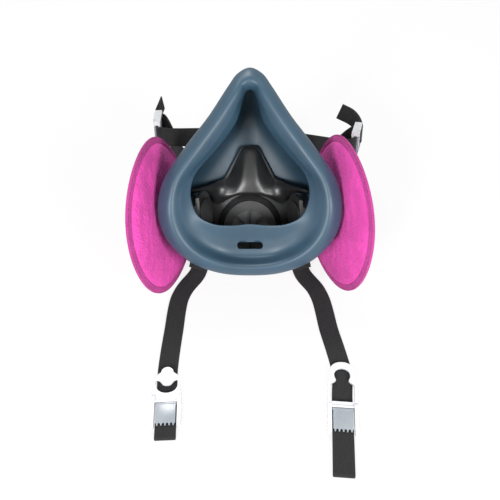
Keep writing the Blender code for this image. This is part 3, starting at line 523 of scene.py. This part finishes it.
def pad_height(r, turn, face, seed):
    """Height of the pad's face over its middle plane, with soft creases and a groove beside the weld."""
    rim = PAD_RIM_T / 2
    if r >= PILLOW_R:
        edge = max(0.0, (r - PAD_R + 0.5) / 0.5)
        return rim * (1.0 - 0.6 * edge * edge)
    u = r / PILLOW_R
    swell = (PAD_FRONT if face > 0 else PAD_BACK) - rim
    at = Vector((math.cos(turn) * u, math.sin(turn) * u, seed))
    wave = noise.noise(at * 2.6) * 0.55 + noise.noise(at * 6.5) * 0.3
    ray = noise.noise(Vector((math.cos(turn) * 9.0, math.sin(turn) * 9.0, seed + u))) * u ** 4
    share = pillow(u)
    groove = WELD_GROOVE * math.exp(-((PILLOW_R - r) / WELD_GROOVE_W) ** 2)
    crease = abs(noise.noise(Vector((at.x * 2.2, at.y * 11.0, seed * 2))))
    folds = min(1.0, swell / 5.0) * (wave * FOLD_WAVE + ray * FOLD_RAY - crease * FOLD_CREASE - FOLD_SINK)
    return rim + share * (swell * 0.94 + folds) - groove


def rim_bend(r, turn, side):
    """How far the soft disc bends outwards, away from the mask."""
    share = (r / PAD_R) ** 3
    even, twofold, threefold = RIM_BEND
    waves = twofold * math.cos(2.0 * turn + 0.9 * side) + threefold * math.cos(3.0 * turn + 1.7 * side)
    return share * (even + waves)


def make_pad(tag, side):
    steps = PAD_STEPS
    radii = [PILLOW_R * k / 34 for k in range(1, 33)]
    radii += [PILLOW_R - 1.0, PILLOW_R - 0.5, PILLOW_R - 0.1, PILLOW_R + 0.05, PILLOW_R + 0.6]
    radii += [PILLOW_R + 1.6, PILLOW_R + 2.6, PAD_R - 0.5, PAD_R - 0.2, PAD_R]
    seed = PAD_SEED[tag]
    bm = bmesh.new()
    outside = []
    for face in (1, -1):
        rows = []
        for r in radii:
            ring = []
            for i in range(steps):
                a = 2 * math.pi * i / steps
                h = face * pad_height(r, a, face, seed + face) + rim_bend(r, a, side)
                ring.append(bm.verts.new((r * math.cos(a) * MM, r * math.sin(a) * MM, h * MM)))
            rows.append(ring)
        bridge(bm, rows)
        top = bm.verts.new((0, 0, face * pad_height(0.0, 0.0, face, seed + face) * MM))
        for i in range(steps):
            bm.faces.new((top, rows[0][i], rows[0][(i + 1) % steps]))
        outside.append(rows[-1])
    bridge(bm, outside)
    uv = bm.loops.layers.uv.new("disc")
    for face in bm.faces:
        for loop in face.loops:
            loop[uv].uv = loop.vert.co.xy
    matrix = port_frame(tag, side) @ Matrix.Translation((0, 0, PAD_MID * MM))
    pad = add("filter_disc_" + tag, bm, matrix, MEDIA, "filter_" + tag)
    cut_away(pad, disc_tool(HUB_RECESS_R, *HUB_RECESS, matrix))
    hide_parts("filter_pad_" + tag)


for tag, side in SIDES:
    make_pad(tag, side)


# straps: the solids' own routes, with rounded edges and warp ribs

STRAP_W = 12.7
STRAP_T = 1.2
STRAP_RIBS = 12
FLAT_Z = 0.75
RETURN_Z = 2.55
BAR_LOOP = math.hypot(3.5, 3.0) / 2 + STRAP_T / 2 + 0.7
X_DIR = Vector((1, 0, 0))
V_DIR = MASK.to_3x3() @ Vector((0, 1, 0))


def in_table(point):
    return (MASK @ (Vector(point) * MM)) / MM


def strap_section():
    """Outline of the strap's cross-section: ribs on both faces, round edges."""
    steps = STRAP_RIBS * 4
    half = STRAP_W / 2
    top = []
    for i in range(steps + 1):
        x = -half + 0.35 + (STRAP_W - 0.7) * i / steps
        rib = 0.5 - 0.5 * math.cos(2 * math.pi * STRAP_RIBS * i / steps)
        top.append((x, STRAP_T / 2 - 0.16 + 0.16 * rib))
    edge = [(half - 0.1, 0.3), (half, 0.0), (half - 0.1, -0.3)]
    low = [(-x, -z) for x, z in top]
    return top + edge + low + [(-x, -z) for x, z in edge]


def ribbon(name, path, per, body, node):
    """Flat strap along a path of (point, width direction), both given on the table."""
    fine = 3
    coarse = spline([p for p, d in path], per)
    turns = [Vector(d).normalized() for p, d in path]
    dirs = [a.lerp(b, k / per) for a, b in zip(turns, turns[1:]) for k in range(per)] + [turns[-1]]
    pts = spline(coarse, fine)
    dirs = [a.lerp(b, k / fine) for a, b in zip(dirs, dirs[1:]) for k in range(fine)] + [dirs[-1]]
    section = strap_section()
    bm = bmesh.new()
    uv = bm.loops.layers.uv.new("strap")
    rows = []
    length = 0.0
    lengths = []
    for i, p in enumerate(pts):
        along = (pts[min(i + 1, len(pts) - 1)] - pts[max(i - 1, 0)]).normalized()
        wide = (dirs[i] - along * dirs[i].dot(along)).normalized()
        up = along.cross(wide)
        rows.append([bm.verts.new((p + wide * a + up * b) * MM) for a, b in section])
        length += (p - pts[max(i - 1, 0)]).length
        lengths.append(length)
    for k, (a, b) in enumerate(zip(rows, rows[1:])):
        for i in range(len(a)):
            j = (i + 1) % len(a)
            face = bm.faces.new((a[i], a[j], b[j], b[i]))
            corners = ((i, k), (j, k), (j, k + 1), (i, k + 1))
            for loop, (s, t) in zip(face.loops, corners):
                loop[uv].uv = (section[s][0], lengths[t])
    bm.faces.new(rows[0])
    bm.faces.new(rows[-1])
    piece = add(name, bm, Matrix.Identity(4), WEBBING, body)
    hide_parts(node)
    return piece


BUCKLE_AT = {"left": (-50.9, -131.5, 2.6), "right": (56.2, -133.0, -4.2)}
NECK_RUN = {"left": ((-41.8, -38.0), (-45.4, -44.0), (-48.8, -54.0), (-50.4, -76.0)),
            "right": ((41.8, -38.0), (45.6, -44.0), (49.2, -55.0), (52.2, -77.0))}
NECK_FOLD = {"left": -22.0, "right": -42.5}
NECK_END = {"left": -2.4, "right": -4.9}


def buckle_frame(tag):
    x, y, turn = BUCKLE_AT[tag]
    return Matrix.Translation((x * MM, y * MM, 0)) @ Matrix.Rotation(math.radians(turn), 4, "Z")


def neck_path(tag, side):
    bar = in_table((side * 34.0, -55.5, -55.5))
    loop = arc(bar, (0, 1, 0), (0, 0, 1), BAR_LOOP, 105, -105, 6)
    sewn = [(37.0, -29.5, 5.0), (36.0, -26.5, 8.2), (34.8, -22.5, 12.4)]
    path = [(Vector((side * x, y, z)), X_DIR) for x, y, z in sewn]
    path += [(p, X_DIR) for p in loop]
    path.append((Vector((side * 35.0, -23.6, 5.6)), X_DIR))
    turn_out = ((36.6, -29.5, 2.3), (38.8, -33.6, 1.05))
    path += [(Vector((side * x, y, z)), (0.82, side * 0.57, 0)) for x, y, z in turn_out]
    path += [(Vector((x, y, FLAT_Z)), X_DIR) for x, y in NECK_RUN[tag]]
    fold = NECK_FOLD[tag]
    lane = [(y, FLAT_Z) for y in (24.0, 8.0, -8.0, fold + 2.0, fold)]
    lane.append((fold - 0.8, (FLAT_Z + RETURN_Z) / 2))
    lane += [(y, RETURN_Z) for y in (fold, fold + 2.0, NECK_END[tag])]
    at = buckle_frame(tag)
    return path + [((at @ Vector((0, y * MM, z * MM))) / MM, at.to_3x3() @ X_DIR) for y, z in lane]


ADJUSTER = {"left": ((-66.4, 55.0, 62.0), (-0.06, 0.95, -0.30), (0, 0.30, 0.954)),
            "right": ((77.6, 52.0, 54.0), (0.24, 0.90, -0.33), (0, 0.34, 0.94))}
SIDE_RUN = {"left": ((-44.5, 36.5, 47.0), (-53.5, 47.0, 49.5)),
            "right": ((45.0, 38.0, 46.0), (58.0, 46.0, 44.5))}


def adjuster_frame(tag, side):
    """Local frame: x across, y towards the free tail, z away from the mask."""
    centre, along, wide = (Vector(p) for p in ADJUSTER[tag])
    y = along.normalized()
    x = (wide - y * wide.dot(y)).normalized()
    if x.cross(y).x * side < 0.0:
        x = -x
    turn = Matrix((x, y, x.cross(y))).transposed().to_4x4()
    return Matrix.Translation(centre * MM) @ turn


def on_adjuster(tag, side, y, z):
    return (adjuster_frame(tag, side) @ Vector((0, y * MM, z * MM))) / MM


def crown_path():
    tall_left = ADJUSTER["left"][2]
    tall_right = ADJUSTER["right"][2]
    path = [(Vector((-66.0, 86.0, 61.5)), tall_left), (Vector((-67.6, 78.0, 60.5)), tall_left)]
    for y, z in ((14.5, 2.5), (9.5, 2.1), (4.0, 0.0), (-6.0, 0.0), (-12.5, 0.0)):
        path.append((on_adjuster("left", -1, y, z), tall_left))
    for point in ((-62.6, 41.0, 66.2), (-56.0, 39.8, 66.5), (-30.0, 40.0, 66.5), (0.0, 40.0, 66.0),
                  (32.0, 39.0, 63.2), (60.0, 37.0, 59.8), (69.0, 37.2, 58.6)):
        path.append((Vector(point), V_DIR))
    for y, z in ((-12.5, 0.0), (-6.0, 0.0), (4.0, 0.0), (9.5, 2.1), (14.5, 2.6)):
        path.append((on_adjuster("right", 1, y, z), tall_right))
    for point in ((82.5, 73.5, 49.5), (77.5, 81.0, 51.5), (68.5, 85.5, 54.0)):
        path.append((Vector(point), tall_left))
    return path


def side_path(tag, side):
    bar = Vector((side * 37.95, 0, -55.5))
    loop = arc(bar, (-side, 0, 0), (0, 0, 1), BAR_LOOP, -10, 190, 6)
    path = [(in_table((side * 35.75, 0.0, -64.5)), V_DIR)]
    path += [(in_table(p), V_DIR) for p in loop]
    path.append((in_table((side * 40.55, 3.0, -66.0)), V_DIR))
    path += [(Vector(p), (0, 0.32, 0.947)) for p in SIDE_RUN[tag]]
    axes = adjuster_frame(tag, side).to_3x3()
    wide = axes.col[0] * math.copysign(1.0, axes.col[0].z)
    bar_mid = on_adjuster(tag, side, 10.9, -1.9)
    path.append((on_adjuster(tag, side, 3.5, -6.8), wide))
    path += [(p, wide) for p in arc(bar_mid, axes.col[2], axes.col[1], 2.3, 170, 10, 4)]
    return path + [(on_adjuster(tag, side, 6.6, -1.6), wide), (on_adjuster(tag, side, 4.6, -4.1), wide)]


for tag, side in SIDES:
    ribbon("neck_webbing_" + tag, neck_path(tag, side), 2, "neck_" + tag, "neck_strap_" + tag)
    ribbon("side_webbing_" + tag, side_path(tag, side), 2, "mask", "side_strap_" + tag)
ribbon("crown_webbing", crown_path(), 3, "mask", "crown_strap")


# buckle halves: plates with rounded edges from smooth outlines

RAIL_IN = 6.75
RAIL_OUT = 9.25
BUCKLE_LOW = 1.75
BUCKLE_TOP = 3.95
RAIL_TOP = 5.45
PIN_Z = 4.2
TAB_T = 1.3
TAB_HALF = 6.05
TAB_LEN = 12.2
TAB_TEETH = 5


def rounded_plate(outlines, low, high, soft):
    """Mesh of a flat plate between two heights: first its outline, then its holes, all edges rounded."""
    curve = bpy.data.curves.new("plate", "CURVE")
    curve.dimensions = "2D"
    curve.fill_mode = "BOTH"
    curve.extrude = ((high - low) / 2 - soft) * MM
    curve.bevel_depth = soft * MM
    curve.bevel_resolution = 3
    curve.offset = -soft * MM
    for outline in outlines:
        line = curve.splines.new("POLY")
        line.points.add(len(outline) - 1)
        for point, (x, y) in zip(line.points, outline):
            point.co = (x * MM, y * MM, 0.0, 1.0)
        line.use_cyclic_u = True
    holder = bpy.data.objects.new("plate", curve)
    scene.collection.objects.link(holder)
    bpy.context.view_layer.update()
    mesh = bpy.data.meshes.new_from_object(holder.evaluated_get(bpy.context.evaluated_depsgraph_get()))
    mesh.transform(Matrix.Translation((0, 0, (low + high) / 2 * MM)))
    bpy.data.objects.remove(holder)
    return mesh


def smooth_half(half, per=4):
    """Smooth closed outline from its right half, listed from the top to the bottom."""
    whole = half + [(-x, y) for x, y in reversed(half) if x > 0.0]
    return [(p.x, p.y) for p in spline([(x, y, 0.0) for x, y in whole], per, cyclic=True)]


def moulded(name, plates, matrix, mat, body, node):
    """One piece from several plates, in place of a solid."""
    bm = bmesh.new()
    for plate in plates:
        bm.from_mesh(plate)
        bpy.data.meshes.remove(plate)
    bm.transform(matrix)
    bmesh.ops.remove_doubles(bm, verts=bm.verts, dist=1e-6)
    for face in bm.faces:
        face.smooth = True
    mesh = bpy.data.meshes.new(name)
    bm.to_mesh(mesh)
    bm.free()
    mesh.set_sharp_from_angle(angle=math.radians(40.0))
    mesh.materials.clear()
    mesh.materials.append(mat)
    piece = bpy.data.objects.new(name, mesh)
    scene.collection.objects.link(piece)
    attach(piece, body)
    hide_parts(node)


def rails(start, end):
    return [rounded_plate([rounded(low, high, end, start, 0.7)], BUCKLE_LOW, RAIL_TOP, 0.4)
            for low, high in ((-RAIL_OUT, -RAIL_IN), (RAIL_IN, RAIL_OUT))]


def toothed_tab():
    """Outline of a tab from its pin to the teeth at its free edge."""
    pitch = 2 * TAB_HALF / TAB_TEETH
    out = [(TAB_HALF, 0.9), (-TAB_HALF, 0.9), (-TAB_HALF, -TAB_LEN)]
    for i in range(TAB_TEETH):
        x = -TAB_HALF + pitch * (i + 0.5)
        tip = -TAB_LEN - 1.6
        out += [(x - pitch * 0.3, -TAB_LEN), (x - pitch * 0.14, tip), (x + pitch * 0.14, tip),
                (x + pitch * 0.3, -TAB_LEN)]
    return out + [(TAB_HALF, -TAB_LEN)]


def make_tab(name, at, pin, body, node):
    leaf = rounded_plate([toothed_tab()], -TAB_T / 2, TAB_T / 2, 0.2)
    heel = rounded_plate([rounded(-RAIL_IN + 0.3, RAIL_IN - 0.3, -0.8, 0.8, 0.6)], -0.8, 0.85, 0.35)
    moulded(name, [leaf, heel], at @ Matrix.Translation((0, pin * MM, PIN_Z * MM)), CLEAR, body, node)


HOOK_HALF = [(0, 24.3), (2.1, 23.75), (3.5, 22.3), (4.1, 20.6), (5.4, 19.5), (7.0, 18.0), (8.1, 15.2),
             (8.6, 11.0), (8.8, 7.5), (9.2, 4.5), (9.25, 2.0), (9.25, 0.0), (8.9, -0.5), (6.0, -0.6),
             (0, -0.6)]
HOOK_MOUTH_HALF = [(0, 11.6), (2.2, 12.1), (3.6, 13.5), (4.6, 14.8), (6.2, 15.2), (6.9, 13.9), (6.6, 11.2),
                   (5.2, 8.4), (2.8, 6.9), (0, 6.4)]


def make_hook():
    at = buckle_frame("left")
    outlines = [smooth_half(HOOK_HALF), smooth_half(HOOK_MOUTH_HALF)]
    plate = rounded_plate(outlines, BUCKLE_LOW, BUCKLE_TOP, 0.55)
    across = rounded(-RAIL_OUT, RAIL_OUT, -0.4, 1.4, 0.6)
    bar = rounded_plate([across], BUCKLE_LOW, BUCKLE_TOP + 0.55, 0.4)
    moulded("hook_plate", [plate, bar] + rails(4.0, -16.0), at, WHITE, "hook", "neck_hook")
    make_tab("hook_cam", at, -1.3, "hook_tab", "neck_hook_tab")


KEY_HALF = [(0, 29.3), (3.2, 28.8), (6.0, 27.1), (7.8, 23.8), (8.2, 19.5), (8.6, 16.5), (9.3, 14.0),
            (9.35, 10.0), (9.35, 4.0), (9.35, -2.0), (8.9, -2.5), (6.0, -2.5), (0, -2.5)]


def keyhole_outline():
    turns = [math.radians(12 * k) for k in range(11)]
    half = [(5.0 * math.sin(a), 20.0 + 5.0 * math.cos(a)) for a in turns]
    half += [(3.95, 16.6), (4.1, 15.9), (5.2, 14.9), (6.7, 13.9), (7.3, 12.6), (7.3, 8.0), (7.3, 2.6),
             (6.9, 2.0), (0, 2.0)]
    return half + [(-x, y) for x, y in reversed(half[1:-1])]


def make_keyhole():
    at = buckle_frame("right")
    plate = rounded_plate([smooth_half(KEY_HALF), keyhole_outline()], BUCKLE_LOW, BUCKLE_TOP, 0.5)
    across = rounded(-RAIL_OUT, RAIL_OUT, -2.3, -0.6, 0.6)
    bar = rounded_plate([across], BUCKLE_LOW, BUCKLE_TOP + 0.55, 0.4)
    moulded("keyhole_plate", [plate, bar] + rails(0.0, -19.0), at, WHITE, "keyhole", "neck_keyhole")
    make_tab("keyhole_cam", at, -3.8, "keyhole_tab", "neck_keyhole_tab")


make_hook()
make_keyhole()


# inner frame: its plate, and the bell that flares from the nose end to wings beside the connectors

FRAME_HALF = [(0, 18.5), (5.5, 17.5), (7, 15.5), (16.8, -2.8), (21.5, -8), (25.3, -12), (27.6, -23),
              (26.6, -35.5), (21.2, -45.5), (12, -52.3), (0, -54.0)]
BELL = (((0, 17.6, -42.6), (2, 17.6, -42.7), (3.6, 17.4, -43), (4.8, 17, -43.6), (5.4, 16.6, -44.4),
         (5.8, 16.2, -45), (6, 15.8, -45.5), (6.2, 15.4, -46), (6.3, 15, -46.3)),
        ((0, 16, -40.4), (2.2, 16, -40.5), (4, 15.8, -40.9), (5.4, 15, -42), (6.2, 14.2, -43.2),
         (6.8, 13.4, -44.3), (7.3, 12.8, -45.2), (7.6, 12.4, -45.8), (7.8, 12, -46)),
        ((0, 9, -38.4), (2.4, 9, -38.5), (4.4, 8.8, -38.9), (6, 8, -40), (7.6, 7.1, -41.6), (9, 6.2, -43.2),
         (10.2, 5.4, -44.4), (10.8, 5, -45), (11.2, 4.6, -45.4)),
        ((0, 1, -37), (2.8, 1, -37.1), (5, 0.8, -37.6), (7.2, 0.2, -39), (9.6, -0.6, -40.8),
         (11.8, -1.4, -42.3), (13.6, -2.2, -43.3), (14.6, -2.6, -43.6), (15.4, -2.8, -43.4)),
        ((0, -6, -36.4), (3.4, -6, -36.5), (6.2, -6.2, -37.1), (9.4, -6.8, -38.6), (12.6, -7.4, -40.1),
         (15.6, -7.4, -41), (18.2, -6.8, -41), (20, -6.2, -40.2), (22.5, -6.4, -38)),
        ((0, -11, -36.8), (4.2, -11.1, -36.9), (7.8, -11.5, -37.5), (12, -12.2, -38.9), (16.5, -12.4, -39.6),
         (21, -11.6, -38.2), (26, -10.6, -33), (31, -10.8, -26.5), (37, -11, -21)),
        ((0, -14, -37.6), (5, -14.2, -37.8), (9.4, -14.8, -38.5), (14, -16, -39.6), (18.6, -16.4, -40),
         (22.6, -15, -38.4), (27.4, -11.6, -31), (34, -11.8, -23.5), (40.4, -12.4, -19.6)),
        ((0, -14.9, -41.5), (5.2, -15.1, -41.6), (10, -16, -42), (15, -18, -42.4), (19.6, -20.6, -42.8),
         (23, -21, -42), (26.2, -15.5, -38), (34, -12.8, -24.4), (40.4, -13.2, -20.2)))
BELL_T = 1.1


def bell_sheet():
    rows = []
    for row in BELL:
        whole = [(-x, v, w) for x, v, w in reversed(row[1:])] + list(row)
        rows.append(spline(whole, 3))
    columns = [spline(column, 4) for column in zip(*rows)]
    bm = bmesh.new()
    grid = [[bm.verts.new(p * MM) for p in column] for column in columns]
    bridge(bm, grid, closed_round=False)
    bmesh.ops.recalc_face_normals(bm, faces=bm.faces[:])
    if sum(face.normal.z for face in bm.faces) < 0.0:
        bmesh.ops.reverse_faces(bm, faces=bm.faces[:])
    bmesh.ops.solidify(bm, geom=bm.faces[:], thickness=BELL_T * MM)
    mesh = bpy.data.meshes.new("bell")
    bm.to_mesh(mesh)
    bm.free()
    return mesh


def make_inner_shell():
    outline = [(x, v) for x, v in FRAME_HALF] + [(-x, v) for x, v in reversed(FRAME_HALF) if x > 0.0]
    hole = [(15.3 * math.cos(a), -39.2 + 15.3 * math.sin(a)) for a in (math.pi * k / 32 for k in range(64))]
    plate = rounded_plate([outline, hole], -47.4, -46.0, 0.3)
    moulded("inner_shell", [plate, bell_sheet()], MASK, BLACK, "mask", "inner_frame")


make_inner_shell()


# solids that keep their shape: softened edges and their materials

FINISH = ((BLACK, 0.45, ("exhalation_seat", "exhalation_cover", "yoke", "connector_left",
                         "connector_right", "connector_nut_left", "connector_nut_right", "filter_hub_left",
                         "filter_hub_right")),
          (BLACK, 0.15, ("inhalation_valve_left", "inhalation_valve_right")),
          (RUBBER, 0.15, ("exhalation_valve", "filter_gasket_left", "filter_gasket_right")),
          (WHITE, 0.35, ("adjuster_left", "adjuster_right")),
          (CLEAR, 0.25, ("adjuster_left_tab", "adjuster_right_tab")))

for mat, edge, names in FINISH:
    for name in names:
        solid = nodes[name]
        solid.data.materials.clear()
        solid.data.materials.append(mat)
        flat = solid.modifiers.new("planes", "DECIMATE")
        flat.decimate_type = "DISSOLVE"
        flat.angle_limit = math.radians(1.0)
        soft = solid.modifiers.new("edges", "BEVEL")
        soft.width = edge * MM
        soft.segments = 2
        soft.limit_method = "ANGLE"
        soft.angle_limit = math.radians(35.0)


# floor and light

def pale_floor():
    bm = bmesh.new()
    bmesh.ops.create_grid(bm, x_segments=1, y_segments=1, size=3.0)
    mesh = bpy.data.meshes.new("floor")
    bm.to_mesh(mesh)
    bm.free()
    made = Shader("floor", Roughness=0.9, Base_Color=(0.86, 0.86, 0.86, 1.0), Specular_IOR_Level=0.1)
    path = made.node("ShaderNodeLightPath")
    glow = made.node("ShaderNodeEmission")
    glow.inputs["Strength"].default_value = 1.0
    mix = made.node("ShaderNodeMixShader")
    seen = made.math("MULTIPLY", path.outputs["Is Camera Ray"], 0.82)
    made.link(seen, mix.inputs["Fac"])
    made.link(made.bsdf.outputs["BSDF"], mix.inputs[1])
    made.link(glow.outputs["Emission"], mix.inputs[2])
    made.link(mix.outputs["Shader"], made.tree.nodes["Material Output"].inputs["Surface"])
    mesh.materials.append(made.mat)
    floor = bpy.data.objects.new("floor", mesh)
    scene.collection.objects.link(floor)


def area_light(name, place, aim, size, watts):
    lamp = bpy.data.lights.new(name, "AREA")
    lamp.shape = "DISK"
    lamp.size = size
    lamp.energy = watts
    made = bpy.data.objects.new(name, lamp)
    made.location = place
    made.rotation_euler = (Vector(aim) - Vector(place)).to_track_quat("-Z", "Y").to_euler()
    scene.collection.objects.link(made)


pale_floor()
def studio_world():
    """Even light for the object, and plain white where the camera, a gloss or glass sees past the floor."""
    world = bpy.data.worlds.new("studio")
    world.use_nodes = True
    tree = world.node_tree
    back = tree.nodes["Background"]
    back.inputs["Color"].default_value = (1.0, 1.0, 1.0, 1.0)
    path = tree.nodes.new("ShaderNodeLightPath")
    seen = path.outputs["Is Camera Ray"]
    for ray in ("Is Glossy Ray", "Is Transmission Ray"):
        either = tree.nodes.new("ShaderNodeMath")
        either.operation = "MAXIMUM"
        tree.links.new(seen, either.inputs[0])
        tree.links.new(path.outputs[ray], either.inputs[1])
        seen = either.outputs[0]
    level = tree.nodes.new("ShaderNodeMapRange")
    level.inputs["To Min"].default_value = 0.3
    level.inputs["To Max"].default_value = 1.0
    tree.links.new(seen, level.inputs["Value"])
    tree.links.new(level.outputs["Result"], back.inputs["Strength"])
    scene.world = world


studio_world()
area_light("key", (-0.4, -0.85, 0.6), (0.0, -0.02, 0.05), 0.3, 8.8)
area_light("fill", (0.55, -0.75, 0.6), (0.0, -0.02, 0.05), 0.35, 8.2)
area_light("top", (-0.15, 0.5, 0.95), (0.0, 0.0, 0.05), 0.3, 5.0)
